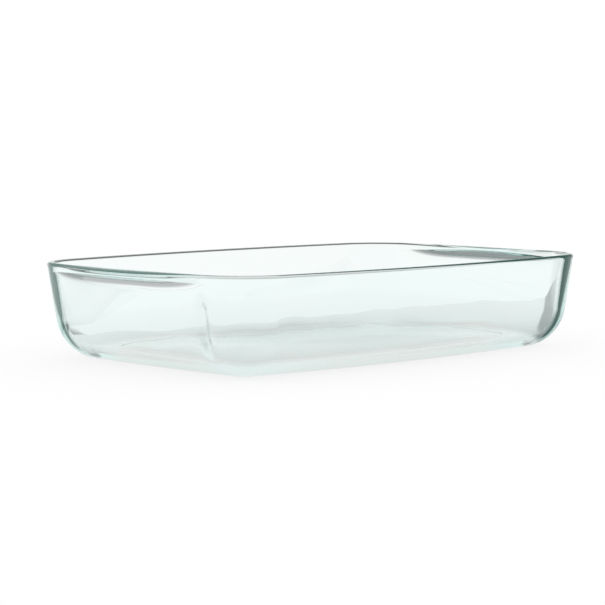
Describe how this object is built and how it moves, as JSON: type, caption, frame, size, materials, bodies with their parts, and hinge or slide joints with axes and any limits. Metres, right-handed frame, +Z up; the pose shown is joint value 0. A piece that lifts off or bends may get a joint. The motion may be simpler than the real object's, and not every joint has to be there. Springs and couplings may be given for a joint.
{
  "type": "lasagna dish",
  "caption": "Open rectangular baking dish of clear pressed glass, with sloping walls, round corners, a rounded rim and a grip ledge at each short end.",
  "frame": {"origin": "middle of the underside, on the plane that the dish stands on", "axes": "+X along the dish towards a grip ledge, +Y towards a long side, +Z up out of the open top"},
  "size_m": [0.35, 0.236, 0.065],
  "materials": {
    "clear_glass": "gloss"
  },
  "bodies": {
    "root": {"glass_dish": "clear_glass"}
  },
  "joints": []
}
